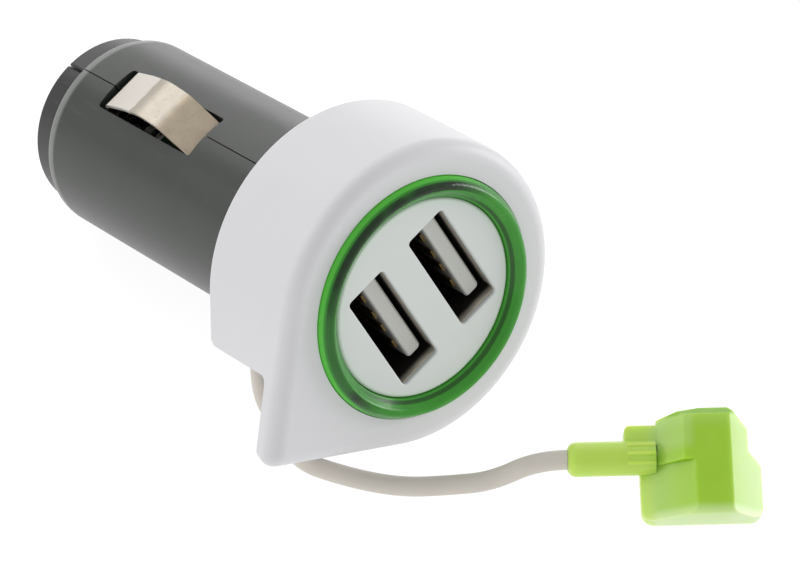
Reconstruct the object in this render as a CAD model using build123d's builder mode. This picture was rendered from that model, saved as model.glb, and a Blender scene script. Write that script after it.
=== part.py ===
"""Car USB charger plug with a short charging lead, in millimetres.

Each piece of the charger is drawn about the plug's own axis: +Z runs out of the port face, which lies
at Z = 0, and -X points to the tip of the teardrop head.  The finished pieces are then laid on the table
together, on the head's back rim and the barrel's shoulder, and the lead and its plug lie beside them.
"""
import os
from math import asin, atan2, cos, degrees, hypot, pi, radians, sin, sqrt, tan

from build123d import *

# Clearances
fit_gap = 0.1
seat_gap = 0.05
running_gap = 0.2

# Barrel that goes into the car's socket, moulded in two halves
barrel_radius = 10.4
barrel_end_radius = 10.3
barrel_wall = 1.6
barrel_length = 41.3
guide_length = 14.9
shoulder_round = 0.75
groove_width = 0.45
groove_depth = 0.35
lip_radius = 9.35
lip_length = 2.85
lip_round = 0.35
nose_wall = 2.4
nose_skin = 1.9
parting_gap = 0.12
lip_notch = 0.3

# Teardrop head
head_radius = 16.2
head_depth = 13.7
front_wall = 2.2
tip_reach = 23.1
tip_back_reach = 19.6
tip_radius = 1.2
tip_turn = 4.0
face_round = 1.6
back_round = 0.4
back_cover_thickness = 1.45

# Plug bay behind the head's tip, whose end wall is skewed about a line near the upper flank
bay_front = 2.9
bay_edge = 16.4
bay_pivot = 5.4
bay_skew = 16
bay_corner = 0.8
bay_back_round = 1.2

# Light ring and port plate
ring_outer = 12.75
ring_inner = 10.6
ring_bead = 1.2
ring_bead_round = 0.45
ring_flange = 0.65
ring_flange_thickness = 0.75
plate_proud = 0.15
plate_thickness = 1.6
plate_round = 0.35
plate_lip = 0.4
plate_skirt = 0.65
plate_rib = 0.7
plate_rib_thickness = 0.4
window_height = 4.9
window_width = 12.7
window_corner = 0.45
window_round = 0.2
led_height = 0.7
led_length = 1.6
led_width = 1.2
led_count = 6
led_board_thickness = 0.6

# USB ports, standard A receptacles
port_spacing = 8.6
port_height = 5.2
port_width = 12.4
port_sheet = 0.35
port_corner = 0.6
port_depth = 12.6
port_window_width = 1.8
port_window_length = 4.6
port_window_place = 3.2
tongue_thickness = 1.84
tongue_width = 11.1
tongue_corner = 0.5
tongue_recess = 1.0
insulator_depth = 2.6
contact_places = (-3.5, -1.0, 1.0, 3.5)
contact_width = 1.0
contact_sheet = 0.22
contact_recess = 0.9

# Boards and what stands on them
port_board_thickness = 1.0
port_board_radius = 9.2
main_board_edge_gap = 0.6
main_board_thickness = 1.2
board_rail = 1.0
board_rail_depth = 1.3
inductor_side = 8.6
inductor_height = 4.3
inductor_corner = 1.1
inductor_chamfer = 0.4
inductor_place = 22.5
capacitor_floor_gap = 1.75
capacitor_length = 7.8
capacitor_place = 16.0
capacitor_round = 0.4
chip_length = 5.0
chip_width = 4.0
chip_height = 1.5
chip_place = 33.0
chip_leg = 0.5
chip_leg_pitch = 1.27
chip_legs = 4
chip_leg_reach = 1.0

# Spring contacts on the barrel
slot_width = 5.4
slot_front = 29.2
slot_length = 16.4
strip_width = 4.8
strip_thickness = 0.4
strip_tab_front = 24.3
strip_front_height = 11.9
strip_front_place = 12.1
strip_crest = 12.5
strip_crest_place = 9.0
strip_rear_height = 11.75
strip_rear_place = 5.6
strip_curl_height = 10.5
strip_curl_place = 1.8
strip_end_height = 9.6
strip_end_place = 0.8
strip_step_bend = 0.8
strip_front_bend = 2.5
strip_crest_bend = 5.0
strip_rear_bend = 6.0
strip_curl_bend = 1.2
strip_tab_gap = 0.2
shelf_length = 0.7
shelf_thickness = 1.1
shelf_reach = 5.6

# Centre contact at the barrel's end
pin_radius = 3.0
pin_reach = 3.6
pin_round = 1.2
pin_flange_radius = 4.4
pin_flange = 1.1
pin_boss_radius = 1.9
pin_boss = 3.0
spring_radius = 2.9
spring_wire = 0.5
spring_turns = 4
spring_length = 8.6
terminal_radius = 3.6
terminal_thickness = 0.5

# Reel inside the head that takes the lead in
reel_wall = 0.7
reel_flange_radius = 13.5
lead_radius = 1.0
lead_start = 0.6
lead_exit_run = 2.6
lead_end_run = 3.0
lead_bend_share = 0.45
reel_spring_strip = 0.22
reel_spring_height = 1.1
reel_spring_turns = 3
collar_radius = 11.8
collar_thickness = 1.25
neck_radius = 11.2

# Bush where the lead leaves the head: it leans towards the lead's way off the reel
eyelet_side = 2.0
eyelet_depth = 8.6
eyelet_turn = 46
eyelet_lift = 12
eyelet_wall = 0.55
eyelet_length = 2.6
eyelet_sink = 0.2

# How the charger lies: turned about its axis until the row of ports is this far from straight down
port_roll = 63.9

# Plug on the lead
plug_place = (15.9, -54.75)
plug_yaw = -34.7
plug_length = 10.95
plug_near_length = 6.7
plug_left = 6.0
plug_right = 6.0
plug_height = 4.6
plug_edge = 1.3
plug_ridge_left = -0.7
plug_ridge_right = 2.8
plug_head_left = 4.3
plug_head_right = 4.7
plug_head_ridge = 1.8
plug_head_edge = 2.6
plug_near_round = 1.3
plug_ridge_round = 0.5
plug_near_edge_round = 0.7
plug_step = 1.2
plug_head_chamfer = 2.0
plug_head_slope = 4.2
plug_head_slope_depth = 0.9
plug_far_bevel = 0.9
plug_tab_reach = 3.2
plug_tab_width = 2.0
plug_tab_thickness = 2.4
plug_tab_place = 8.6
plug_tab_corner = 0.6
relief_radius = 1.72
relief_start = 4.5
relief_length = 8.7
relief_nose = 0.9
relief_height = 1.9
relief_place = 6.45
relief_ribs = 3
relief_rib = 0.2
relief_rib_length = 2.8
relief_rib_turn = 32
connector_width = 6.85
connector_thickness = 1.8
connector_length = 5.0
connector_sheet = 0.25
connector_place = 8.0
connector_tongue = 0.6

# Route of the lead from the head's bush to the plug, on the table
lead_route = (
    (-13.0, -23.2, 7.0),
    (-12.8, -25.2, 4.8),
    (-11.2, -25.6, 2.3),
    (-9.1, -27.2, 1.1),
    (-6.9, -30.7, 1.0),
    (-4.5, -33.5, 1.0),
    (-1.3, -36.0, 1.3),
    (1.8, -39.1, 2.3),
)

# Places worked out from the sizes above
barrel_back = -(head_depth + barrel_length)
barrel_bore = barrel_end_radius - barrel_wall
guide_back = -(head_depth + guide_length)
head_bore = reel_flange_radius + running_gap
port_recess = plate_lip - plate_proud + seat_gap
lip_front = barrel_back + lip_length
shoulder_back = lip_front + groove_width
shoulder_front = shoulder_back + shoulder_round
nose_inside = barrel_back + nose_wall
nose_bore = lip_radius - nose_skin
port_back = -(port_recess + port_depth)
port_board_front = port_back - seat_gap
port_board_back = port_board_front - port_board_thickness
port_bore = ring_inner - fit_gap - plate_skirt + seat_gap
back_cover_front = -head_depth + back_cover_thickness + seat_gap
collar_back = back_cover_front + seat_gap
collar_front = collar_back + collar_thickness
plate_radius = ring_inner - fit_gap
skirt_back = collar_front + seat_gap
pin_flange_back = nose_inside + fit_gap
pin_flange_front = pin_flange_back + pin_flange
terminal_back = pin_flange_front + spring_length
main_board_back = terminal_back + terminal_thickness + seat_gap
main_board_front = port_board_back - seat_gap
main_board_width = 2 * (barrel_bore - main_board_edge_gap)
capacitor_radius = (barrel_bore - main_board_thickness / 2 - seat_gap - capacitor_floor_gap) / 2
ring_flange_front = -front_wall - seat_gap
ring_flange_back = ring_flange_front - ring_flange_thickness
led_back = ring_flange_back - seat_gap - led_height
led_board_back = led_back - led_board_thickness
plate_rib_front = led_board_back - seat_gap
reel_front = plate_rib_front - plate_rib_thickness - fit_gap
reel_back = collar_front + 2 * running_gap
reel_bore = plate_radius + running_gap
drum_radius = reel_bore + reel_wall
winding_turns = int((reel_front - reel_back - 2 * reel_wall) / (2 * lead_radius))
bush_bore = lead_radius + seat_gap
bush_radius = bush_bore + eyelet_wall
skew = radians(bay_skew)
bay_line = (cos(skew), sin(skew), 0)
bay_side = Plane(origin=(-bay_edge, bay_pivot, 0), x_dir=bay_line, z_dir=(sin(skew), -cos(skew), 0))
eyelet_mouth = Vector(-bay_edge - (eyelet_side - bay_pivot) * tan(skew), eyelet_side, -eyelet_depth)
eyelet_axis = Vector(-1, 0, 0).rotate(Axis.Y, eyelet_lift).rotate(Axis.Z, eyelet_turn)
eyelet_plane = Plane(origin=eyelet_mouth, z_dir=eyelet_axis)
strip_tab = sqrt(barrel_bore**2 - (strip_width / 2) ** 2) - strip_tab_gap - strip_thickness / 2


def teardrop(reach):
    """Draws the head's outline: a large and a small circle, with the straight flanks between them."""
    Circle(head_radius)
    with Locations((-(reach - tip_radius), 0)):
        Circle(tip_radius)
    make_hull()


with BuildPart() as head_shell:
    with BuildSketch(Plane.XY.offset(-head_depth)):
        teardrop(tip_back_reach)
    with BuildSketch():
        teardrop(tip_reach)
    loft(ruled=True)
    fillet(head_shell.faces().sort_by(Axis.Z)[-1].edges(), face_round)
    fillet(head_shell.faces().sort_by(Axis.Z)[0].edges(), back_round)
    with BuildSketch(Plane.XY.offset(-head_depth)):
        Circle(head_bore)
    extrude(amount=head_depth - front_wall, mode=Mode.SUBTRACT)
    with BuildSketch(Plane.XY.offset(-head_depth)):
        Circle(ring_outer + fit_gap)
    extrude(amount=head_depth, mode=Mode.SUBTRACT)
    with BuildSketch(bay_side):
        with BuildLine():
            side = FilletPolyline(
                (-2 * tip_reach, -bay_front),
                (0, -bay_front),
                (0, -head_depth),
                (2 * bay_back_round, -head_depth),
                radius=[bay_corner, bay_back_round],
            )
            Polyline(
                side @ 1,
                (2 * bay_back_round, -2 * head_depth),
                (-2 * tip_reach, -2 * head_depth),
                side @ 0,
            )
        make_face()
    extrude(amount=2 * head_radius, both=True, mode=Mode.SUBTRACT)
    with BuildSketch(eyelet_plane.offset(-eyelet_length - seat_gap)):
        Circle(bush_radius + seat_gap)
    extrude(amount=2 * eyelet_length, mode=Mode.SUBTRACT)
    with BuildSketch(eyelet_plane):
        Circle(bush_bore)
    extrude(amount=-3 * eyelet_length, mode=Mode.SUBTRACT)

with BuildPart() as head_back:
    with BuildSketch(Plane.XY.offset(back_cover_front)):
        Circle(head_bore - fit_gap)
        Circle(neck_radius + fit_gap, mode=Mode.SUBTRACT)
    extrude(amount=-back_cover_thickness)

with BuildPart() as light_ring:
    with BuildSketch(Plane.XZ):
        with BuildLine():
            Polyline(
                (ring_inner, plate_proud),
                (ring_inner, ring_flange_back),
                (ring_outer + ring_flange, ring_flange_back),
                (ring_outer + ring_flange, ring_flange_front),
                (ring_outer, ring_flange_front),
                (ring_outer, plate_proud),
                (ring_outer - ring_bead / 2, ring_bead),
                (ring_outer - ring_bead, ring_bead),
                close=True,
            )
        bead = make_face()
        fillet(bead.vertices().group_by(Axis.Y)[-1], ring_bead_round)
    revolve(axis=Axis.Z)

with BuildPart() as port_plate:
    with BuildSketch(Plane.XY.offset(plate_proud)):
        Circle(plate_radius)
    extrude(amount=-plate_thickness)
    with BuildSketch(Plane.XY.offset(plate_proud)):
        Circle(plate_radius)
        Circle(plate_radius - plate_skirt, mode=Mode.SUBTRACT)
    extrude(amount=skirt_back - plate_proud)
    with BuildSketch(Plane.XY.offset(plate_rib_front)):
        Circle(plate_radius + plate_rib)
        Circle(plate_radius - plate_skirt, mode=Mode.SUBTRACT)
    extrude(amount=-plate_rib_thickness)
    with BuildSketch(Plane.XY.offset(plate_proud - plate_lip)):
        with GridLocations(port_spacing, 0, 2, 1):
            port_margin = 2 * (port_sheet + fit_gap)
            RectangleRounded(port_height + port_margin, port_width + port_margin, port_corner + fit_gap)
    extrude(amount=-plate_thickness, mode=Mode.SUBTRACT)
    with BuildSketch(Plane.XY.offset(plate_proud)):
        with GridLocations(port_spacing, 0, 2, 1):
            RectangleRounded(window_height, window_width, window_corner)
    extrude(amount=-plate_thickness, mode=Mode.SUBTRACT)
    plate_face = port_plate.faces().sort_by(Axis.Z)[-1]
    fillet([edge for wire in plate_face.inner_wires() for edge in wire.edges()], window_round)
    fillet(port_plate.faces().sort_by(Axis.Z)[-1].outer_wire().edges(), plate_round)


def usb_shell(place):
    """Folded metal sleeve of one port, with the sprung windows in its long walls."""
    with BuildPart() as shell:
        with BuildSketch(Plane.XY.offset(port_back)):
            with Locations((place, 0)):
                outside = port_height + 2 * port_sheet
                RectangleRounded(outside, port_width + 2 * port_sheet, port_corner)
                RectangleRounded(port_height, port_width, port_corner - port_sheet, mode=Mode.SUBTRACT)
        extrude(amount=port_depth)
        with BuildSketch(Plane.YZ.offset(place)):
            with Locations((0, port_back + port_depth / 2)):
                with GridLocations(2 * port_window_place, 0, 2, 1):
                    Rectangle(port_window_width, port_window_length)
        extrude(amount=port_height, both=True, mode=Mode.SUBTRACT)
    return shell.part


def usb_tongue(place):
    """Insulator of one port: a block at the back of the sleeve and the tongue that stands out of it."""
    with BuildPart() as insulator:
        with BuildSketch(Plane.XY.offset(port_back)):
            with Locations((place, 0)):
                inside_gap = 2 * seat_gap
                RectangleRounded(port_height - inside_gap, port_width - inside_gap, port_corner - port_sheet)
        extrude(amount=insulator_depth)
        with BuildSketch(Plane.XY.offset(port_back)):
            with Locations((place + tongue_thickness / 2, 0)):
                RectangleRounded(tongue_thickness, tongue_width, tongue_corner)
        extrude(amount=port_depth - tongue_recess)
        front = insulator.faces().sort_by(Axis.Z)[-1]
        chamfer(front.edges(), contact_sheet)
    return insulator.part


def usb_contacts(place):
    """The sprung contact strips along one face of a port's tongue."""
    strip_front = -port_recess - tongue_recess - contact_recess
    strip_back = port_back + insulator_depth
    with BuildPart() as strips:
        for side in contact_places:
            with BuildSketch(Plane.XY.offset(strip_back)):
                with Locations((place, side)):
                    Rectangle(contact_sheet, contact_width, align=(Align.MAX, Align.CENTER))
            extrude(amount=strip_front - strip_back)
    return strips.part


with BuildPart() as port_board:
    with BuildSketch(Plane.XY.offset(port_board_front)):
        Circle(port_board_radius)
    extrude(amount=-port_board_thickness)

with BuildPart() as led_board:
    with BuildSketch(Plane.XY.offset(led_back)):
        Circle(ring_outer + ring_flange)
        Circle(ring_inner, mode=Mode.SUBTRACT)
    extrude(amount=-led_board_thickness)

with BuildPart() as ring_leds:
    with BuildSketch(Plane.XY.offset(led_back)):
        with PolarLocations((ring_inner + ring_outer) / 2, led_count):
            Rectangle(led_width, led_length)
    extrude(amount=led_height)

with BuildPart() as main_board:
    with BuildSketch(Plane.XY.offset(main_board_back)):
        Rectangle(main_board_width, main_board_thickness)
    extrude(amount=main_board_front - main_board_back)

with BuildPart() as inductor:
    with BuildSketch(Plane.XZ.offset(-main_board_thickness / 2)):
        with Locations((0, -inductor_place)):
            RectangleRounded(inductor_side, inductor_side, inductor_corner)
    extrude(amount=-inductor_height)
    chamfer(inductor.faces().sort_by(Axis.Y)[-1].edges(), inductor_chamfer)

with BuildPart() as capacitors:
    can_height = -(main_board_thickness / 2 + seat_gap + capacitor_radius)
    with BuildSketch(Plane.XY.offset(-capacitor_place)):
        with Locations((0, can_height)):
            with GridLocations(2 * (capacitor_radius + fit_gap), 0, 2, 1):
                Circle(capacitor_radius)
    extrude(amount=-capacitor_length)
    fillet(capacitors.edges().filter_by(GeomType.CIRCLE), capacitor_round)

with BuildPart() as converter_chip:
    with BuildSketch(Plane.XZ.offset(-main_board_thickness / 2)):
        with Locations((0, -chip_place)):
            Rectangle(chip_width, chip_length)
    extrude(amount=-chip_height)
    with BuildSketch(Plane.XZ.offset(-main_board_thickness / 2)):
        with Locations((0, -chip_place)):
            with GridLocations(0, chip_leg_pitch, 1, chip_legs):
                Rectangle(chip_width + 2 * chip_leg_reach, chip_leg)
    extrude(amount=-chip_leg)

with BuildPart() as barrel:
    with BuildSketch(Plane.XZ):
        with BuildLine():
            outside = Polyline(
                (port_bore, collar_front),
                (collar_radius, collar_front),
                (collar_radius, collar_back),
                (neck_radius, collar_back),
                (neck_radius, -head_depth),
                (barrel_radius, -head_depth),
                (barrel_radius, guide_back),
                (barrel_end_radius, shoulder_front),
            )
            shoulder = RadiusArc(
                outside @ 1, (barrel_end_radius - shoulder_round, shoulder_back), shoulder_round
            )
            Polyline(
                shoulder @ 1,
                (lip_radius - groove_depth, shoulder_back),
                (lip_radius - groove_depth, lip_front),
                (lip_radius, lip_front),
                (lip_radius, barrel_back),
                (pin_radius + fit_gap, barrel_back),
                (pin_radius + fit_gap, nose_inside),
                (nose_bore, nose_inside),
                (nose_bore, shoulder_front),
                (barrel_bore, shoulder_front + barrel_bore - nose_bore),
                (barrel_bore, port_board_back - seat_gap),
                (port_board_radius + fit_gap, port_board_back - seat_gap),
                (port_board_radius + fit_gap, port_board_front),
                (port_bore, port_board_front),
                outside @ 0,
            )
        make_face()
    revolve(axis=Axis.Z)
    lip_edge = barrel.faces().sort_by(Axis.Z)[0].edges().sort_by(SortBy.RADIUS)[-1]
    fillet(lip_edge, lip_round)
    with BuildSketch(Plane.XZ):
        with Locations((0, -slot_front)):
            RectangleRounded(
                slot_width, slot_length, strip_thickness, align=(Align.CENTER, Align.MAX)
            )
    extrude(amount=2 * barrel_radius, both=True, mode=Mode.SUBTRACT)
    with BuildSketch(Plane.XY.offset(barrel_back)):
        for turn in (90, 270):
            with PolarLocations(lip_radius, 1, start_angle=turn):
                RegularPolygon(lip_notch, 4)
    extrude(amount=lip_length, mode=Mode.SUBTRACT)
    rail_length = main_board_front - main_board_back - barrel_wall
    rail_place = main_board_thickness / 2 + seat_gap
    with BuildSketch(Plane.XY.offset(main_board_back + barrel_wall / 2)):
        with GridLocations(2 * barrel_bore, 2 * rail_place + board_rail, 2, 2):
            Rectangle(2 * board_rail_depth, board_rail)
    extrude(amount=rail_length)
    with BuildSketch(Plane.XY.offset(-strip_tab_front)):
        shelf_top = strip_tab - strip_thickness / 2 - strip_tab_gap
        with GridLocations(0, 2 * shelf_top - shelf_thickness, 1, 2):
            Rectangle(2 * shelf_reach, shelf_thickness)
    extrude(amount=-shelf_length)


def barrel_half(side):
    """One moulded half of the barrel: side is +1 for the +X half and -1 for the other."""
    with BuildPart() as half:
        add(barrel.part)
        keep_side = Keep.TOP if side > 0 else Keep.BOTTOM
        split(bisect_by=Plane.YZ.offset(side * parting_gap / 2), keep=keep_side)
    return half.part


def side_contact(side):
    """Bowed spring strip in the barrel's slot: side is +1 for the +Y slot and -1 for the other."""
    slot_back = slot_front + slot_length
    step_out = slot_front + strip_thickness
    with BuildPart() as strip:
        with BuildSketch(Plane.YZ.offset(-strip_width / 2)):
            with BuildLine():
                FilletPolyline(
                    (side * strip_tab, -strip_tab_front),
                    (side * strip_tab, -step_out),
                    (side * strip_front_height, -slot_back + strip_front_place),
                    (side * strip_crest, -slot_back + strip_crest_place),
                    (side * strip_rear_height, -slot_back + strip_rear_place),
                    (side * strip_curl_height, -slot_back + strip_curl_place),
                    (side * strip_end_height, -slot_back + strip_end_place),
                    radius=[
                        strip_step_bend,
                        strip_front_bend,
                        strip_crest_bend,
                        strip_rear_bend,
                        strip_curl_bend,
                    ],
                )
            trace(line_width=strip_thickness)
        extrude(amount=strip_width)
    return strip.part


with BuildPart() as tip_contact:
    with BuildSketch(Plane.XZ):
        pin_back = barrel_back - pin_reach
        with BuildLine():
            Polyline(
                (0, pin_back),
                (pin_radius, pin_back),
                (pin_radius, pin_flange_back),
                (pin_flange_radius, pin_flange_back),
                (pin_flange_radius, pin_flange_front),
                (pin_boss_radius, pin_flange_front),
                (pin_boss_radius, pin_flange_front + pin_boss),
                (0, pin_flange_front + pin_boss),
                close=True,
            )
        make_face()
    revolve(axis=Axis.Z)
    fillet(tip_contact.edges().group_by(Axis.Z)[0], pin_round)

with BuildPart() as tip_spring:
    end_gap = spring_wire / 2 + seat_gap
    coil_height = spring_length - 2 * end_gap
    with BuildLine() as coil:
        Helix(
            pitch=coil_height / spring_turns,
            height=coil_height,
            radius=spring_radius,
            center=(0, 0, pin_flange_front + end_gap),
        )
    with BuildSketch(Plane(origin=coil.line @ 0, z_dir=coil.line % 0)):
        Circle(spring_wire / 2)
    sweep(is_frenet=True)

with BuildPart() as tip_terminal:
    with BuildSketch(Plane.XY.offset(terminal_back)):
        Circle(terminal_radius)
    extrude(amount=terminal_thickness)

with BuildPart() as lead_reel:
    with BuildSketch(Plane.XZ):
        with BuildLine():
            Polyline(
                (reel_bore, reel_front),
                (reel_flange_radius, reel_front),
                (reel_flange_radius, reel_front - reel_wall),
                (drum_radius, reel_front - reel_wall),
                (drum_radius, reel_back + reel_wall),
                (reel_flange_radius, reel_back + reel_wall),
                (reel_flange_radius, reel_back),
                (reel_bore, reel_back),
                close=True,
            )
        make_face()
    revolve(axis=Axis.Z)

with BuildPart() as lead_winding:
    winding_middle = (reel_front + reel_back) / 2
    turn_radius = drum_radius + seat_gap + lead_radius
    with BuildSketch(Plane.XZ):
        with Locations((turn_radius, winding_middle)):
            with GridLocations(0, 2 * lead_radius, 1, winding_turns):
                Circle(lead_radius)
            Rectangle(lead_radius, 2 * lead_radius)
    revolve(axis=Axis.Z)

with BuildPart() as reel_spring:
    spring_inner = collar_radius + running_gap
    spring_pitch = (head_bore - running_gap - spring_inner) / (reel_spring_turns + 0.5)
    spring_front = reel_back - (reel_back - back_cover_front - reel_spring_height) / 2
    with BuildSketch(Plane.XY.offset(spring_front)):
        with BuildLine():
            start = Vector(spring_inner + spring_pitch / 4, 0)
            for half_turn in range(2 * reel_spring_turns):
                reach = spring_inner + spring_pitch / 4 + (half_turn + 1) * spring_pitch / 2
                end = Vector(-reach if half_turn % 2 == 0 else reach, 0)
                RadiusArc(start, end, -(start - end).length / 2)
                start = end
        trace(line_width=reel_spring_strip)
    extrude(amount=-reel_spring_height)

with BuildPart() as lead_eyelet:
    with BuildSketch(eyelet_plane):
        Circle(bush_radius)
        Circle(bush_bore, mode=Mode.SUBTRACT)
    extrude(amount=eyelet_length, both=True)
    with BuildSketch(bay_side):
        with Locations((eyelet_sink, -head_depth)):
            Rectangle(head_radius, head_depth, align=(Align.MAX, Align.MIN))
    extrude(amount=head_radius, both=True, mode=Mode.SUBTRACT)
    with BuildSketch(Plane.XY.offset(-head_depth)):
        Circle(head_bore)
    extrude(amount=head_depth, mode=Mode.SUBTRACT)

charger = {
    "head_shell": head_shell.part,
    "head_back": head_back.part,
    "light_ring": light_ring.part,
    "port_plate": port_plate.part,
    "port_board": port_board.part,
    "led_board": led_board.part,
    "ring_leds": ring_leds.part,
    "main_board": main_board.part,
    "inductor": inductor.part,
    "capacitors": capacitors.part,
    "converter_chip": converter_chip.part,
    "tip_contact": tip_contact.part,
    "tip_spring": tip_spring.part,
    "tip_terminal": tip_terminal.part,
    "lead_reel": lead_reel.part,
    "lead_winding": lead_winding.part,
    "reel_spring": reel_spring.part,
    "lead_eyelet": lead_eyelet.part,
}
head_turn = Location((0, 0, 0), (0, 0, tip_turn))
for label in ("head_shell", "lead_eyelet"):
    charger[label] = charger[label].moved(head_turn)
for name, place in (("tip_side", -port_spacing / 2), ("far_side", port_spacing / 2)):
    charger[f"usb_shell_{name}"] = usb_shell(place)
    charger[f"usb_tongue_{name}"] = usb_tongue(place)
    charger[f"usb_contacts_{name}"] = usb_contacts(place)
for name, side in (("lower", -1), ("upper", 1)):
    charger[f"barrel_half_{name}"] = barrel_half(side)
    charger[f"side_contact_{name}"] = side_contact(side)

# The charger lies on the back rim of the head and on the barrel's shoulder, whose roundings share a tangent
rim_to_shoulder = -head_depth + back_round - shoulder_front
rim_above_shoulder = head_radius - back_round - (barrel_end_radius - shoulder_round)
rounding_turn = asin((shoulder_round - back_round) / hypot(rim_to_shoulder, rim_above_shoulder))
tilt = atan2(rim_above_shoulder, rim_to_shoulder) - rounding_turn
axis_height = (head_radius - back_round) * cos(tilt) + (head_depth - back_round) * sin(tilt) + back_round
roll = radians(port_roll)
tip_line = (sin(roll), cos(roll) * sin(tilt), cos(roll) * cos(tilt))
port_line = (0, -cos(tilt), sin(tilt))
lying = Plane(origin=(0, 0, axis_height), x_dir=tip_line, z_dir=port_line)
footprint = Compound(children=[piece.moved(lying.location) for piece in charger.values()]).bounding_box()
footprint_middle = footprint.center()
rest = Plane(
    origin=(-footprint_middle.X, -footprint_middle.Y, axis_height), x_dir=tip_line, z_dir=port_line
)

# The plug leans back on its connector: its front edge and the connector's end both touch the table
plug_pitch = degrees(atan2(connector_length, connector_place - connector_thickness / 2))
plug_frame = Plane(
    Location((*plug_place, 0), (0, 0, plug_yaw)) * Location((0, 0, 0), (plug_pitch, 0, 0))
)

with BuildPart() as plug_body:
    with BuildSketch(Plane.XZ):
        with BuildLine():
            Polyline(
                (-plug_left, 0),
                (plug_right, 0),
                (plug_right, plug_edge),
                (plug_ridge_right, plug_height),
                (plug_ridge_left, plug_height),
                (-plug_left, plug_edge),
                close=True,
            )
        near_section = make_face()
        fillet(near_section.vertices().group_by(Axis.Y)[-1], plug_ridge_round)
    extrude(amount=-plug_near_length)
    with BuildSketch(Plane.XZ.offset(-plug_near_length + plug_step)):
        with BuildLine():
            Polyline(
                (-plug_head_left, 0),
                (plug_head_right, 0),
                (plug_head_right, plug_head_edge),
                (plug_ridge_right, plug_height),
                (-plug_head_ridge, plug_height),
                (-plug_head_left, plug_head_edge),
                close=True,
            )
        head_section = make_face()
        fillet(head_section.vertices().group_by(Axis.Y)[-1], plug_ridge_round)
    extrude(amount=-(plug_length - plug_near_length + plug_step))
    with BuildSketch():
        with BuildLine():
            Polyline(
                (-plug_left, 0),
                (plug_right, 0),
                (plug_right, plug_near_length - plug_step),
                (plug_head_right, plug_near_length),
                (plug_head_right, plug_length - plug_head_chamfer),
                (plug_head_right - plug_head_chamfer, plug_length),
                (plug_head_slope - plug_head_left, plug_length),
                (-plug_head_left, plug_length - plug_head_slope_depth),
                (-plug_head_left, plug_near_length),
                (-plug_left, plug_near_length),
                close=True,
            )
        plan = make_face()
        fillet(plan.vertices().group_by(Axis.Y)[0], plug_near_round)
    extrude(amount=2 * plug_height, mode=Mode.INTERSECT)
    with BuildSketch(Plane.YZ):
        with BuildLine():
            Polyline(
                (0, 0),
                (plug_length, 0),
                (plug_length, plug_height - plug_far_bevel),
                (plug_length - plug_far_bevel, plug_height),
                (0, plug_height),
                close=True,
            )
        side_view = make_face()
        fillet(side_view.vertices().group_by(Axis.X)[0].sort_by(Axis.Y)[-1], plug_near_edge_round)
    extrude(amount=2 * plug_left, both=True, mode=Mode.INTERSECT)
    with BuildSketch(Plane.XY.offset(plug_head_edge - plug_tab_thickness)):
        with Locations((-plug_head_left - plug_tab_reach, plug_tab_place)):
            RectangleRounded(
                2 * plug_tab_reach, plug_tab_width, plug_tab_corner, align=(Align.MIN, Align.CENTER)
            )
    extrude(amount=plug_tab_thickness)
    with BuildSketch(Plane.YZ.offset(-relief_start)):
        with Locations((relief_place, relief_height)):
            Circle(relief_radius)
    extrude(amount=-relief_length)
    fillet(plug_body.edges().group_by(Axis.X)[0], relief_nose)
    with BuildSketch(Plane.YZ.offset(-relief_start)):
        with Locations((relief_place, relief_height)):
            first_rib = 90 - relief_rib_turn
            with PolarLocations(
                relief_radius, relief_ribs, first_rib, 2 * relief_rib_turn, endpoint=True
            ):
                Circle(relief_rib)
    extrude(amount=-relief_rib_length)

with BuildPart() as plug_shell:
    with BuildSketch():
        with Locations((0, connector_place)):
            Rectangle(connector_width, connector_thickness)
            inside = 2 * connector_sheet
            Rectangle(connector_width - inside, connector_thickness - inside, mode=Mode.SUBTRACT)
    extrude(amount=-connector_length)

with BuildPart() as plug_tongue:
    with BuildSketch():
        with Locations((0, connector_place)):
            inside = 2 * (connector_sheet + seat_gap)
            Rectangle(connector_width - inside, connector_tongue)
    extrude(amount=-(connector_length - connector_tongue))

# The lead starts inside the bush and ends in the face of the plug's relief
turned_head = Plane(rest.location * head_turn)
bush_inside = turned_head.from_local_coords(eyelet_mouth - lead_start * eyelet_axis)
bush_outside = turned_head.from_local_coords(eyelet_mouth + (lead_exit_run - lead_start) * eyelet_axis)
relief_end = plug_frame.from_local_coords(
    Vector(-(relief_start + relief_length), relief_place, relief_height)
)
relief_run = plug_frame.from_local_coords(
    Vector(-(relief_start + relief_length) - lead_end_run, relief_place, relief_height)
)
route = [bush_inside, bush_outside] + [Vector(*point) for point in lead_route] + [relief_run, relief_end]
runs = [after - before for before, after in zip(route, route[1:])]
turns = [before.get_angle(after) for before, after in zip(runs, runs[1:])]
bends = [
    lead_bend_share * min(before.length, after.length) / tan(radians(turn) / 2)
    for before, after, turn in zip(runs, runs[1:], turns)
]
with BuildPart() as charging_lead:
    with BuildLine() as lead_path:
        FilletPolyline(*route, radius=bends)
    with BuildSketch(Plane(origin=route[0], z_dir=runs[0])):
        Circle(lead_radius)
    sweep()

lead_length = sum(edge.length for edge in lead_path.edges())
lead_section = pi * lead_radius**2
print("bend radii", [round(bend, 1) for bend in bends])
print("runs", [round(run.length, 1) for run in runs], "turns", [round(turn) for turn in turns])
print("lead length", round(lead_length, 2))
print("lead volume", round(charging_lead.part.volume, 2), "by section", round(lead_section * lead_length, 2))

on_lead = {
    "plug_body": plug_body.part.moved(plug_frame.location),
    "plug_shell": plug_shell.part.moved(plug_frame.location),
    "plug_tongue": plug_tongue.part.moved(plug_frame.location),
    "charging_lead": charging_lead.part,
}

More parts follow.
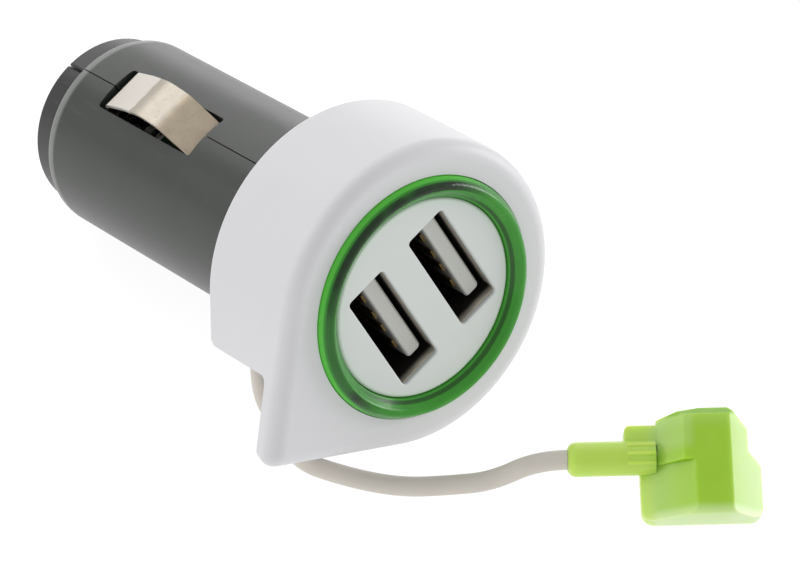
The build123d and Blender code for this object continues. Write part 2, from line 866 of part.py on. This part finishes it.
os.makedirs("parts", exist_ok=True)
pieces = {label: piece.moved(rest.location) for label, piece in charger.items()} | on_lead
for label, piece in pieces.items():
    piece.label = label
    export_step(piece, f"parts/{label}.step")
print("rest", rest.origin, "tilt", round(degrees(tilt), 3), "plug pitch", round(plug_pitch, 3))
print("footprint", footprint.min, footprint.max)
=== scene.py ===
# %% [markdown]
# A car charger with two ports, a lit ring and a short lead that carries its own plug. Its solids come
# from the CAD model, so this lesson mostly dresses them and draws only the lead and one spring anew. The
# frame is loaded first. The dressed model has to stay inside it.

# %% The frame
from math import cos, pi, radians, sin

import bpy
from mathutils import Matrix, Vector


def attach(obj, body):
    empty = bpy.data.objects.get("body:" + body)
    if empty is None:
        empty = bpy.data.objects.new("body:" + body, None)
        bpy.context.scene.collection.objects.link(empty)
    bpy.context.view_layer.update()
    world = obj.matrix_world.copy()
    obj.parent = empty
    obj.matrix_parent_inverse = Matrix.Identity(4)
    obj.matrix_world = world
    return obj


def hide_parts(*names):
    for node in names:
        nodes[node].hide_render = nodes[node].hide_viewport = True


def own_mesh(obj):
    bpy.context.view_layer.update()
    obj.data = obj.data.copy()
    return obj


mm = 0.001

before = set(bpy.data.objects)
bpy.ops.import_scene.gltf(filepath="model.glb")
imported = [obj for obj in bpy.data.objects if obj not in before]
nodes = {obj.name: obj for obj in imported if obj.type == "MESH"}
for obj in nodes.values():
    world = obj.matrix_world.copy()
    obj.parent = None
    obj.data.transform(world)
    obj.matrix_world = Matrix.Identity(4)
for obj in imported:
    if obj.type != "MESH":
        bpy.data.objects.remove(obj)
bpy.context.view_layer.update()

# %% [markdown]
# The charger lies on the rim of its head and on the shoulder of its barrel, so its own axis leans a
# little. Many finishes follow that axis: the ring is round about it, and the barrel is moulded along it.
# Three unit vectors give the charger's own directions: out of the ports, towards the head's tip, and
# across both. The middle of the port face is where they start.

# %% The charger's own directions
face_centre = Vector((0.0017720, -0.0275786, 0.0180674))
barrel_tilt = radians(8.900)
head_roll = radians(63.9)
port_line = Vector((0, -cos(barrel_tilt), sin(barrel_tilt)))
tip_line = -Vector((sin(head_roll), cos(head_roll) * sin(barrel_tilt), cos(head_roll) * cos(barrel_tilt)))
side_line = port_line.cross(-tip_line)
print("ports face", [round(part, 3) for part in port_line])

# %% [markdown]
# A product picture of a small thing is taken with a long lens from about half a metre, which keeps the
# two ends of the charger nearly the same size. The camera is built from the angles that a photographer
# would name: how far round, how far up, how much it leans, and what it is aimed at.

# %% Camera
camera_aim = Vector((0.000569, -0.025488, 0.019355))
camera_distance = 0.543668
camera_round = radians(37.460)
camera_up = radians(35.781)
camera_lean = radians(0.366)
lens_length = 247.955
sensor_width = 36.0
nearest_seen = 0.01
farthest_seen = 20

camera = bpy.data.objects.new("camera", bpy.data.cameras.new("camera"))
bpy.context.scene.collection.objects.link(camera)
camera.data.sensor_width = sensor_width
camera.data.lens = lens_length
camera.data.clip_start = nearest_seen
camera.data.clip_end = farthest_seen
turned = Matrix.Rotation(-camera_round, 4, "Z") @ Matrix.Rotation(pi / 2 - camera_up, 4, "X")
turned = turned @ Matrix.Rotation(camera_lean, 4, "Z")
looking = turned @ Vector((0, 0, -1))
camera.matrix_world = Matrix.Translation(camera_aim - camera_distance * looking) @ turned
bpy.context.scene.camera = camera
print("camera at", [round(part, 3) for part in camera.location])

# %% [markdown]
# Shader maths reads best as plain arithmetic. This class holds one socket, and each operator on it adds
# the Math node that does that sum. The reflected forms let a number stand first, as in 1 - mask. Every
# other node comes from one method of the finish, which sets the node up before it joins its sockets.

# %% Shader expressions
class Line:
    def __init__(self, finish, socket):
        self.finish = finish
        self.socket = socket

    def sum(self, operation, first, second):
        return self.finish.node("ShaderNodeMath", {"operation": operation}, {0: first, 1: second})

    def __add__(self, other):
        return self.sum("ADD", self, other)

    def __radd__(self, other):
        return self.sum("ADD", other, self)

    def __sub__(self, other):
        return self.sum("SUBTRACT", self, other)

    def __rsub__(self, other):
        return self.sum("SUBTRACT", other, self)

    def __mul__(self, other):
        return self.sum("MULTIPLY", self, other)

    def __rmul__(self, other):
        return self.sum("MULTIPLY", other, self)

    def __pow__(self, other):
        return self.sum("POWER", self, other)

    def __gt__(self, other):
        return self.sum("GREATER_THAN", self, other)

    def __lt__(self, other):
        return self.sum("LESS_THAN", self, other)


class Finish:
    def __init__(self, name, **shader):
        self.material = bpy.data.materials.new(name)
        self.material.use_nodes = True
        self.tree = self.material.node_tree
        self.tree.nodes.clear()
        self.shader = self.tree.nodes.new("ShaderNodeBsdfPrincipled")
        output = self.tree.nodes.new("ShaderNodeOutputMaterial")
        self.tree.links.new(self.shader.outputs[0], output.inputs["Surface"])
        for socket, value in shader.items():
            self.shader.inputs[socket.replace("_", " ")].default_value = value

    def node(self, kind, settings=None, sockets=None, output=0):
        made = self.tree.nodes.new(kind)
        for setting, value in (settings or {}).items():
            setattr(made, setting, value)
        for socket, value in (sockets or {}).items():
            self.join(made.inputs[socket], value)
        return Line(self, made.outputs[output])

    def join(self, socket, value):
        if isinstance(value, Line):
            self.tree.links.new(value.socket, socket)
        elif socket.type == "RGBA":
            socket.default_value = (*value, 1.0)
        else:
            socket.default_value = value

    def feed(self, **sockets):
        for socket, value in sockets.items():
            self.join(self.shader.inputs[socket.replace("_", " ")], value)

    def dress(self, *names):
        for name in names:
            mesh = nodes[name].data
            mesh.materials.clear()
            mesh.materials.append(self.material)
        print(self.material.name, "dresses", len(names), "pieces")


# %% [markdown]
# The same few patterns serve most moulded finishes: a cloud of noise at a given grain, a blend of two
# colours, a soft step, and a bump. Grain is given as the size of one lump, which is easier to judge than
# Blender's scale. Every pattern reads the object's own coordinates, so nothing needs unwrapping. The Mix
# node keeps its colour sockets at numbered places, and those numbers are named first.

# %% Patterns
mix_share, mix_first, mix_second, mix_colour = 0, 6, 7, 2


def place_from(finish, start):
    here = finish.node("ShaderNodeTexCoord", output="Object")
    return finish.node("ShaderNodeVectorMath", {"operation": "SUBTRACT"}, {0: here, 1: start})


def along(place, direction):
    settings = {"operation": "DOT_PRODUCT"}
    return place.finish.node("ShaderNodeVectorMath", settings, {0: place, 1: direction}, "Value")


def radius_of(place):
    towards_tip = along(place, tip_line)
    sideways = along(place, side_line)
    return (towards_tip * towards_tip + sideways * sideways) ** 0.5


def drawn_out(place, share):
    parts = {"X": along(place, port_line) * share, "Y": along(place, tip_line), "Z": along(place, side_line)}
    return place.finish.node("ShaderNodeCombineXYZ", {}, parts)


def cloud(finish, lump, detail, place=None):
    place = place or finish.node("ShaderNodeTexCoord", output="Object")
    sockets = {"Vector": place, "Scale": 1 / lump, "Detail": detail}
    return finish.node("ShaderNodeTexNoise", {}, sockets)


def blend(share, first, second):
    settings = {"data_type": "RGBA", "clamp_factor": True}
    sockets = {mix_share: share, mix_first: first, mix_second: second}
    return share.finish.node("ShaderNodeMix", settings, sockets, mix_colour)


def step_between(value, zero_at, full_at):
    settings = {"interpolation_type": "SMOOTHSTEP", "clamp": True}
    sockets = {"Value": value, "From Min": zero_at, "From Max": full_at}
    return value.finish.node("ShaderNodeMapRange", settings, sockets)


def bump(height, depth):
    sockets = {"Height": height, "Distance": depth, "Strength": 1.0}
    height.finish.feed(Normal=height.finish.node("ShaderNodeBump", {}, sockets))


def speckled(name, lump, detail, dark, light, dull, spread, **shader):
    finish = Finish(name, **shader)
    grain = cloud(finish, lump, detail)
    finish.feed(Base_Color=blend(grain, dark, light), Roughness=dull + grain * spread)
    return finish


# %% [markdown]
# The head is white moulded plastic with a satin skin: spark-eroded steel leaves a very fine grain that
# softens every reflection. Handling leaves a few faint grey rubs in patches. The back cover is the same
# plastic.

# %% White shell
shell_shade = (0.655, 0.652, 0.672)
shell_light = (0.680, 0.677, 0.697)
rub_grey = (0.52, 0.52, 0.53)
rub_share = 0.35
shell_dull = 0.40
shell_spread = 0.08
rub_polish = 0.08

white_shell = Finish("white_shell", IOR=1.5)
grain = cloud(white_shell, lump=0.12 * mm, detail=3.0)
patches = cloud(white_shell, lump=6 * mm, detail=2.0)
rubs = step_between(cloud(white_shell, lump=1.6 * mm, detail=6.0), zero_at=0.62, full_at=0.78)
rubs = rubs * step_between(patches, zero_at=0.52, full_at=0.66)
white_shell.feed(
    Base_Color=blend(rubs * rub_share, blend(patches, shell_shade, shell_light), rub_grey),
    Roughness=shell_dull + grain * shell_spread - rubs * rub_polish,
)
bump(grain, depth=0.012 * mm)
white_shell.dress("head_shell", "head_back")

# %% [markdown]
# The ring is a clear green light guide, and real transmission gives its depth. Its light and shade are
# also painted into its colour, for light that falls in on one side, runs round inside and comes out at
# the far side and along the outer edge: on one side a painted highlight on the outer slope and a painted
# dark band higher on the bead, on the other side a painted dark line near the inner edge, and a faint
# painted glow on the highlight and along the far side.

# %% Green ring
ring_deep = (0.040, 0.34, 0.030)
ring_clear = (0.075, 0.44, 0.050)
painted_ring_highlight = (0.12, 0.72, 0.07)
painted_band_shade = (0.018, 0.042, 0.018)
painted_line_shade = (0.004, 0.035, 0.006)
painted_glow_least = (0.0, 0.004, 0.0)
painted_glow_most = (0.085, 0.330, 0.035)
tip_share = 0.45
patch_share = 0.5
line_share = 0.85
far_painted_glow = 0.4
ring_dull = 0.20
ring_spread = 0.10

green_ring = Finish("green_ring", Transmission_Weight=0.45, IOR=1.38, Emission_Strength=0.20)
place = place_from(green_ring, face_centre)
rise = along(place, port_line)
radius = radius_of(place)
facing = along(place, side_line) + along(place, tip_line) * tip_share
flow = cloud(green_ring, lump=2.2 * mm, detail=3.0)
lit_patch = step_between(cloud(green_ring, lump=6 * mm, detail=1.0), zero_at=0.50, full_at=0.62)
near_side = step_between(facing, zero_at=-3.0 * mm, full_at=4.5 * mm)
outer_slope = step_between(radius, zero_at=12.00 * mm, full_at=12.14 * mm)
inner_slope = step_between(radius, zero_at=11.70 * mm, full_at=11.56 * mm)
low_on_slope = step_between(rise, zero_at=0.64 * mm, full_at=0.46 * mm)
high_on_bead = step_between(rise, zero_at=0.68 * mm, full_at=0.86 * mm)
line_above = step_between(rise, zero_at=0.26 * mm, full_at=0.36 * mm)
line_below = step_between(rise, zero_at=0.74 * mm, full_at=0.58 * mm)
# painted highlight: the outer slope on the near side is painted bright lime
highlight_on_slope = low_on_slope * outer_slope * near_side
# painted shade: a dark band high on the bead on the near side, broken by random patches
shade_band = high_on_bead * (1 - inner_slope) * near_side * (1 - lit_patch * patch_share)
# painted shade: a dark line near the inner edge on the far side
dark = line_above * line_below * inner_slope * (1 - near_side) * line_share
ring_colour = blend(highlight_on_slope, blend(flow, ring_deep, ring_clear), painted_ring_highlight)
ring_colour = blend(shade_band, ring_colour, painted_band_shade)
# painted glow: the emission follows the painted highlight and covers the whole far side
green_ring.feed(
    Base_Color=blend(dark, ring_colour, painted_line_shade),
    Roughness=ring_dull + flow * ring_spread,
    Emission_Color=blend(highlight_on_slope + (1 - near_side) * far_painted_glow, painted_glow_least, painted_glow_most),
)
bump(cloud(green_ring, lump=1.2 * mm, detail=2.0), depth=0.03 * mm)
green_ring.dress("light_ring")

# %% [markdown]
# The plate between the ring and the ports is a cooler grey than the shell, with the same fine grain.
# Near its outer edge a painted green tint stands for the ring's light falling on it.

# %% Port plate
plate_shade = (0.615, 0.646, 0.636)
plate_light = (0.640, 0.668, 0.658)
painted_green_spill = (0.56, 0.72, 0.55)
green_spill_share = 0.30
plate_dull = 0.36
plate_spread = 0.10

plate_grey = Finish("plate_grey", IOR=1.5)
radius = radius_of(place_from(plate_grey, face_centre))
grain = cloud(plate_grey, lump=0.1 * mm, detail=3.0)
patches = cloud(plate_grey, lump=4 * mm, detail=2.0)
# painted light: green from the ring, painted onto the plate's outer edge
green_spill_edge = step_between(radius, zero_at=9.5 * mm, full_at=10.3 * mm)
plate_grey.feed(
    Base_Color=blend(green_spill_edge * green_spill_share, blend(patches, plate_shade, plate_light), painted_green_spill),
    Roughness=plate_dull + grain * plate_spread,
)
bump(grain, depth=0.010 * mm)
plate_grey.dress("port_plate")

# %% [markdown]
# The barrel is a dark grey engineering plastic that takes the heat of the socket. Its grain is coarser,
# and long use in the socket leaves faint rubs along its length, so the noise is stretched that way. The
# lip at its end is painted darker, as painted shade, and a painted highlight runs in patches along the
# edge of the shoulder.

# %% Barrel
barrel_shade = (0.020, 0.025, 0.020)
barrel_light = (0.028, 0.033, 0.028)
painted_lip_shade = (0.004, 0.005, 0.003)
lip_shade_share = 0.8
painted_shoulder_highlight = (0.23, 0.24, 0.23)
scuff_grey = (0.12, 0.125, 0.118)
scuff_share = 0.12
scuff_stretch = 0.12
highlight_least = 0.5
highlight_patchy = 0.6
barrel_dull = 0.30
barrel_spread = 0.10
scuff_dull = 0.03

barrel_grey = Finish("barrel_grey", IOR=1.56)
place = place_from(barrel_grey, face_centre)
depth = along(place, port_line)
grain = cloud(barrel_grey, lump=0.14 * mm, detail=3.0)
patches = cloud(barrel_grey, lump=5 * mm, detail=2.0)
scuffs = cloud(barrel_grey, lump=0.6 * mm, detail=4.0, place=drawn_out(place, scuff_stretch))
scuffs = step_between(scuffs, zero_at=0.60, full_at=0.75)
# painted shade: the lip at the barrel's end is painted near black
shaded_lip = step_between(depth, zero_at=-51.6 * mm, full_at=-52.0 * mm)
# painted highlight: a pale band along the shoulder's edge, in patches
highlighted_shoulder = step_between(depth, zero_at=-50.1 * mm, full_at=-50.7 * mm) * (1 - shaded_lip)
barrel_colour = blend(shaded_lip * lip_shade_share, blend(patches, barrel_shade, barrel_light), painted_lip_shade)
barrel_colour = blend(highlighted_shoulder * (highlight_least + patches * highlight_patchy), barrel_colour, painted_shoulder_highlight)
barrel_grey.feed(
    Base_Color=blend(scuffs * scuff_share, barrel_colour, scuff_grey),
    Roughness=barrel_dull + grain * barrel_spread + scuffs * scuff_dull,
)
bump(grain, depth=0.014 * mm)
barrel_grey.dress("barrel_half_lower", "barrel_half_upper")

# %% [markdown]
# The sprung strips and the tip are nickel-plated steel. Rolling leaves fine lines along the strip. The
# three runs of the strip are painted in tones that stand for the light each run catches: the crest a
# mottled mid tone, the rear run bright as a painted highlight, and the front run a warmer brown. Fine
# scratches are worn in, most on the front run. The edges between the three runs are ragged.

# %% Contact metal
crest_dark = (0.44, 0.395, 0.335)
crest_light = (0.54, 0.495, 0.425)
painted_rear_highlight = (0.78, 0.73, 0.67)
front_dark = (0.50, 0.42, 0.32)
front_light = (0.68, 0.58, 0.45)
wear_brown = (0.26, 0.21, 0.15)
rolling_stretch = 0.08
raggedness = 1.2 * mm
wear_least = 0.10
wear_in_front = 0.16
strip_dull = 0.34
rolled_dull = 0.12
speck_dull = 0.15
speck_height = 0.5

contact_metal = Finish("contact_metal", Metallic=1.0)
place = place_from(contact_metal, face_centre)
rolled = cloud(contact_metal, lump=0.15 * mm, detail=4.0, place=drawn_out(place, rolling_stretch))
specks = step_between(cloud(contact_metal, lump=0.3 * mm, detail=8.0), zero_at=0.56, full_at=0.70)
tarnish = cloud(contact_metal, lump=1.2 * mm, detail=5.0)
ragged = along(place, port_line) + (tarnish - 0.5) * raggedness
# painted light: each run of the strip gets its own tone, the rear run a painted highlight
rear_run = step_between(ragged, zero_at=-38.2 * mm, full_at=-38.6 * mm)
front_run = step_between(ragged, zero_at=-33.9 * mm, full_at=-33.5 * mm)
metal_colour = blend(rear_run, blend(tarnish, crest_dark, crest_light), painted_rear_highlight)
metal_colour = blend(front_run, metal_colour, blend(tarnish, front_dark, front_light))
contact_metal.feed(
    Base_Color=blend(specks * (wear_least + front_run * wear_in_front), metal_colour, wear_brown),
    Roughness=strip_dull + rolled * rolled_dull + specks * speck_dull,
)
bump(rolled + specks * speck_height, depth=0.010 * mm)
contact_metal.dress(
    "side_contact_lower", "side_contact_upper", "tip_contact", "tip_terminal", "reel_spring"
)

# %% [markdown]
# Behind the tip sits a small compression spring, with its fixed end at the board's terminal. As a rigid
# solid it would be cut by the tip that is pressed in, so that solid is hidden and the same helix is made
# here as a mesh fixed to the charger. The wire is swept along a poly line with many points a turn, and its
# steel is dark and dull.

# %% Spring behind the tip
spring_radius = 0.0029
spring_wire = 0.0005
spring_turns = 4
spring_low = -0.0511
spring_high = -0.0431
spring_seat = -0.0428
points_a_turn = 32
wire_roundness = 3


def on_charger(across, sideways, ahead):
    return face_centre - tip_line * across + side_line * sideways + port_line * ahead


spring_curve = bpy.data.curves.new("spring_line", "CURVE")
spring_curve.dimensions = "3D"
spring_curve.bevel_depth = spring_wire / 2
spring_curve.bevel_resolution = wire_roundness
spring_curve.use_fill_caps = True
spring_line = spring_curve.splines.new("POLY")
spring_steps = spring_turns * points_a_turn
spring_line.points.add(spring_steps)
for step, point in enumerate(spring_line.points):
    turn = 2 * pi * step / points_a_turn
    ahead = spring_low + (spring_high - spring_low) * step / spring_steps
    point.co = (*on_charger(spring_radius * cos(turn), spring_radius * sin(turn), ahead), 1.0)
spring_drawn = bpy.data.objects.new("spring_line", spring_curve)
spring = bpy.data.objects.new("tip_spring_coil", bpy.data.meshes.new_from_object(spring_drawn))
bpy.data.objects.remove(spring_drawn)
bpy.context.scene.collection.objects.link(spring)

spring_steel = speckled(
    "spring_steel",
    lump=0.4 * mm,
    detail=4.0,
    dark=(0.035, 0.033, 0.031),
    light=(0.060, 0.057, 0.052),
    dull=0.45,
    spread=0.15,
    Metallic=1.0,
)
spring.data.materials.clear()
spring.data.materials.append(spring_steel.material)
spring.data.shade_smooth()
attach(spring, "charger")
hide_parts("tip_spring")
on_charger(0, 0, spring_seat)
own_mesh(spring)
print("spring has", len(spring.data.polygons), "faces")

# %% [markdown]
# Each port is a folded tin-plated shell with a pale tongue and gold strips inside. The shell is thin
# sheet, so its edges catch the light. Deeper in, the shell and the tongue are painted dark as painted
# shade, and on the end wall nearest the table the painted shade starts sooner. The side of the tongue
# that holds its strips is painted darker, as painted shade.

# %% Ports
tin_dark = (0.60, 0.55, 0.46)
tin_light = (0.76, 0.71, 0.62)
painted_port_shade = (0.022, 0.020, 0.018)
shade_starts_sooner = 0.9 * mm
sheet_dull = 0.38
sheet_spread = 0.14

port_metal = Finish("port_metal", Metallic=0.55)
place = place_from(port_metal, face_centre)
streaks = cloud(port_metal, lump=0.5 * mm, detail=4.0)
# painted shade: the shell darkens with depth, sooner on the end wall
end_wall = step_between(along(place, side_line), zero_at=-5.9 * mm, full_at=-6.1 * mm)
shade_depth = along(place, port_line) - end_wall * shade_starts_sooner
painted_depth_shade = step_between(shade_depth, zero_at=-1.2 * mm, full_at=-2.2 * mm)
port_metal.feed(
    Base_Color=blend(painted_depth_shade, blend(streaks, tin_dark, tin_light), painted_port_shade),
    Roughness=sheet_dull + streaks * sheet_spread,
)
port_metal.dress("usb_shell_tip_side", "usb_shell_far_side", "plug_shell")

tongue_shade = (0.55, 0.555, 0.53)
tongue_light = (0.60, 0.605, 0.58)
painted_tongue_shade = (0.03, 0.03, 0.03)
strip_shade_near = (0.26, 0.26, 0.25)
strip_shade_deep = (0.02, 0.02, 0.02)
tip_side_face = 4.18 * mm
far_side_face = -4.42 * mm
tongue_dull = 0.40
tongue_spread = 0.10

port_insulator = Finish("port_insulator")
place = place_from(port_insulator, face_centre)
towards_tip = along(place, tip_line)
grain = cloud(port_insulator, lump=0.2 * mm, detail=3.0)
# painted shade: the tongue darkens with depth, and its strip side is painted darker
painted_depth_shade = step_between(along(place, port_line), zero_at=-1.4 * mm, full_at=-6.0 * mm)
shaded_strip_side = (towards_tip > tip_side_face) + (towards_tip > far_side_face) * (towards_tip < 0)
strip_shade_colour = blend(painted_depth_shade, strip_shade_near, strip_shade_deep)
tongue_colour = blend(shaded_strip_side, blend(grain, tongue_shade, tongue_light), strip_shade_colour)
port_insulator.feed(
    Base_Color=blend(painted_depth_shade, tongue_colour, painted_tongue_shade),
    Roughness=tongue_dull + grain * tongue_spread,
)
port_insulator.dress("usb_tongue_tip_side", "usb_tongue_far_side", "plug_tongue")

gold_contact = speckled(
    "gold_contact",
    lump=0.4 * mm,
    detail=4.0,
    dark=(0.24, 0.16, 0.06),
    light=(0.34, 0.24, 0.10),
    dull=0.22,
    spread=0.14,
    Metallic=1.0,
)
gold_contact.dress("usb_contacts_tip_side", "usb_contacts_far_side")

# %% [markdown]
# Inside sit the boards and their components, which only show in a cut-away. They still get the finishes
# that such pieces have: a green mask over copper, moulded black cases, drawn cans and pale lamps. The
# lead's reel and its eyelet are a plain white plastic.

# %% Inside pieces
mask_dark = (0.010, 0.070, 0.032)
mask_light = (0.025, 0.120, 0.055)
copper_share = 0.5
board_dull = 0.34
weave_dull = 0.12

board_green = Finish("board_green")
weave = cloud(board_green, lump=0.5 * mm, detail=4.0)
copper = step_between(cloud(board_green, lump=1.2 * mm, detail=1.0), zero_at=0.48, full_at=0.54)
board_green.feed(
    Base_Color=blend(copper * copper_share, mask_dark, mask_light),
    Roughness=board_dull + weave * weave_dull,
)
board_green.dress("port_board", "led_board", "main_board")

lamp_white = speckled(
    "lamp_white",
    lump=0.3 * mm,
    detail=2.0,
    dark=(0.82, 0.82, 0.70),
    light=(0.88, 0.88, 0.80),
    dull=0.30,
    spread=0.10,
)
lamp_white.dress("ring_leds")

component_black = speckled(
    "component_black",
    lump=0.2 * mm,
    detail=3.0,
    dark=(0.035, 0.035, 0.037),
    light=(0.06, 0.06, 0.06),
    dull=0.45,
    spread=0.15,
)
component_black.dress("inductor", "converter_chip")

can_metal = speckled(
    "can_metal",
    lump=0.4 * mm,
    detail=4.0,
    dark=(0.66, 0.66, 0.68),
    light=(0.76, 0.76, 0.78),
    dull=0.25,
    spread=0.15,
    Metallic=1.0,
)
can_metal.dress("capacitors")

reel_white = speckled(
    "reel_white",
    lump=0.3 * mm,
    detail=3.0,
    dark=(0.68, 0.68, 0.68),
    light=(0.74, 0.74, 0.74),
    dull=0.42,
    spread=0.10,
)
reel_white.dress("lead_reel", "lead_eyelet")

# %% [markdown]
# The plug is moulded in one shot of lime plastic that lets light through. Along its flat top the colour
# is deep. Its slopes and edges, low down, on the right, at the front, at the head and at the far end, are
# painted paler as a painted sheen, and the top far bevel is painted darker, as painted shade. Three
# directions of the plug's own give the height above its base and the place across and along it.

# %% Plug
plug_base = Vector((0.0159, -0.05475, 0))
plug_yaw = radians(-34.7)
plug_pitch = radians(35.154)
plug_across = Vector((cos(plug_yaw), sin(plug_yaw), 0))
plug_along = Vector((-sin(plug_yaw) * cos(plug_pitch), cos(plug_yaw) * cos(plug_pitch), sin(plug_pitch)))
plug_up = plug_across.cross(plug_along)
lime_deep = (0.36, 0.632, 0.026)
lime_clear = (0.41, 0.672, 0.040)
painted_lime_sheen = (0.66, 0.81, 0.44)
painted_bevel_shade = (0.24, 0.46, 0.02)
relief_lime = (0.56, 0.76, 0.12)
relief_share = 0.8
low_sheen = 0.35
right_sheen = 0.28
front_sheen = 0.60
head_sheen = 0.24
far_sheen = 0.12
plug_dull = 0.30
plug_spread = 0.08

plug_green = Finish(
    "plug_green",
    IOR=1.5,
    Subsurface_Weight=0.70,
    Subsurface_Radius=(0.9, 1.0, 0.4),
    Subsurface_Scale=1.4 * mm,
)
place = place_from(plug_green, plug_base)
height = along(place, plug_up)
across = along(place, plug_across)
ahead = along(place, plug_along)
grain = cloud(plug_green, lump=0.2 * mm, detail=3.0)
flow = cloud(plug_green, lump=2.5 * mm, detail=2.0)
low_edge = step_between(height, zero_at=4.6 * mm, full_at=0.8 * mm)
right_slope = step_between(across, zero_at=2.2 * mm, full_at=3.8 * mm)
front_edge = step_between(ahead, zero_at=1.2 * mm, full_at=0.2 * mm)
head_slope = step_between(ahead, zero_at=6.2 * mm, full_at=7.4 * mm)
head_slope = head_slope * step_between(across, zero_at=-0.4 * mm, full_at=-1.4 * mm)
far_end = step_between(ahead, zero_at=8.4 * mm, full_at=9.8 * mm)
# painted shade: the top far bevel is painted a darker lime
shaded_far_bevel = step_between(ahead, zero_at=9.9 * mm, full_at=10.3 * mm)
on_relief = step_between(across, zero_at=-4.2 * mm, full_at=-5.6 * mm)
# painted sheen: slopes and edges that mirror the bright room are painted pale lime
sheen_mask = low_edge * low_sheen + right_slope * right_sheen + front_edge * front_sheen
sheen_mask = sheen_mask + head_slope * head_sheen + far_end * far_sheen
lime = blend(sheen_mask, blend(flow, lime_deep, lime_clear), painted_lime_sheen)
lime = blend(shaded_far_bevel, lime, painted_bevel_shade)
plug_green.feed(
    Base_Color=blend(on_relief * relief_share, lime, relief_lime),
    Roughness=plug_dull + grain * plug_spread,
)
bump(grain, depth=0.008 * mm)
plug_green.dress("plug_body")

# %% [markdown]
# The lead is a soft round cable of 2 mm that comes out of the head's bay, drops to the table and runs to
# the plug. The CAD tube's own points, in millimetres, steer one smooth spline, so it bends as a cable
# does, and its jacket has the faint grain of extruded rubber. The turns on the reel are the same cable.

# %% Charging lead
lead_diameter = 0.002
lead_points = [
    (-12.435, -19.800, 11.347),
    (-13.046, -20.716, 8.992),
    (-13.000, -23.200, 7.000),
    (-12.800, -25.200, 4.800),
    (-11.200, -25.600, 2.300),
    (-9.100, -27.200, 1.100),
    (-6.900, -30.700, 1.000),
    (-4.500, -33.500, 1.000),
    (-1.300, -36.000, 1.300),
    (1.800, -39.100, 2.300),
    (4.961, -42.091, 5.267),
    (7.427, -43.799, 5.267),
]
lead_roundness = 6
lead_smoothness = 16
lead_order = 3
lead_curve = bpy.data.curves.new("lead", "CURVE")
lead_curve.dimensions = "3D"
lead_curve.bevel_depth = lead_diameter / 2
lead_curve.bevel_resolution = lead_roundness
lead_curve.resolution_u = lead_smoothness
lead_line = lead_curve.splines.new("NURBS")
lead_line.points.add(len(lead_points) - 1)
for point, spot in zip(lead_line.points, lead_points):
    point.co = (*(Vector(spot) / 1000), 1.0)
lead_line.order_u = lead_order
lead_line.use_endpoint_u = True
lead = bpy.data.objects.new("lead", lead_curve)
bpy.context.scene.collection.objects.link(lead)

jacket_shade = (0.60, 0.555, 0.495)
jacket_light = (0.66, 0.615, 0.555)
jacket_dull = 0.52
jacket_spread = 0.12
lead_jacket = Finish("lead_jacket", IOR=1.5)
grain = cloud(lead_jacket, lump=0.25 * mm, detail=3.0)
patches = cloud(lead_jacket, lump=4 * mm, detail=2.0)
lead_jacket.feed(
    Base_Color=blend(patches, jacket_shade, jacket_light),
    Roughness=jacket_dull + grain * jacket_spread,
)
bump(grain, depth=0.012 * mm)
lead_curve.materials.append(lead_jacket.material)
lead_jacket.dress("lead_winding")
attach(lead, "charger")
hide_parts("charging_lead")
print("lead has", len(lead_points), "points")

# %% [markdown]
# A white table and a white room give the soft, almost shadowless light of a catalogue picture. The table
# glows a little itself, as a lit sweep does. A large panel above and behind is the key, and the panels on
# the left, on the right and low at the far right give the slopes something bright to mirror.

# %% Table and light
table_reach = 3.0
table_glow = 0.92
room_strength = 0.62
white = (1.0, 1.0, 1.0, 1.0)

table = bpy.data.objects.new("table", bpy.data.meshes.new("table"))
corners = [
    (-table_reach, -table_reach, 0),
    (table_reach, -table_reach, 0),
    (table_reach, table_reach, 0),
    (-table_reach, table_reach, 0),
]
table.data.from_pydata(corners, [], [(0, 1, 2, 3)])
bpy.context.scene.collection.objects.link(table)
table_white = speckled(
    "table_white",
    lump=2 * mm,
    detail=2.0,
    dark=(0.14, 0.14, 0.14),
    light=(0.15, 0.15, 0.15),
    dull=0.6,
    spread=0.1,
    Emission_Color=white,
    Emission_Strength=table_glow,
)
table.data.materials.append(table_white.material)

room = bpy.data.worlds.new("room")
room.use_nodes = True
room.node_tree.nodes["Background"].inputs["Color"].default_value = white
room.node_tree.nodes["Background"].inputs["Strength"].default_value = room_strength
bpy.context.scene.world = room


def panel(name, place, size, power):
    light = bpy.data.lights.new(name, "AREA")
    light.shape = "RECTANGLE"
    light.size, light.size_y = size
    light.energy = power
    lamp = bpy.data.objects.new(name, light)
    lamp.location = place
    lamp.rotation_euler = (camera_aim - Vector(place)).to_track_quat("-Z", "Y").to_euler()
    bpy.context.scene.collection.objects.link(lamp)


panel("behind", place=(0.10, 0.52, 0.62), size=(0.7, 0.7), power=2.2)
panel("left_side", place=(-0.56, 0.38, 0.46), size=(0.5, 0.5), power=1.4)
panel("right_side", place=(0.76, -0.25, 0.14), size=(0.4, 0.3), power=2.6)
panel("far_right", place=(0.66, 0.70, 0.08), size=(0.9, 0.24), power=1.2)
bpy.context.scene.view_settings.view_transform = "Standard"
print("the table is lit by", len(bpy.data.lights), "panels")
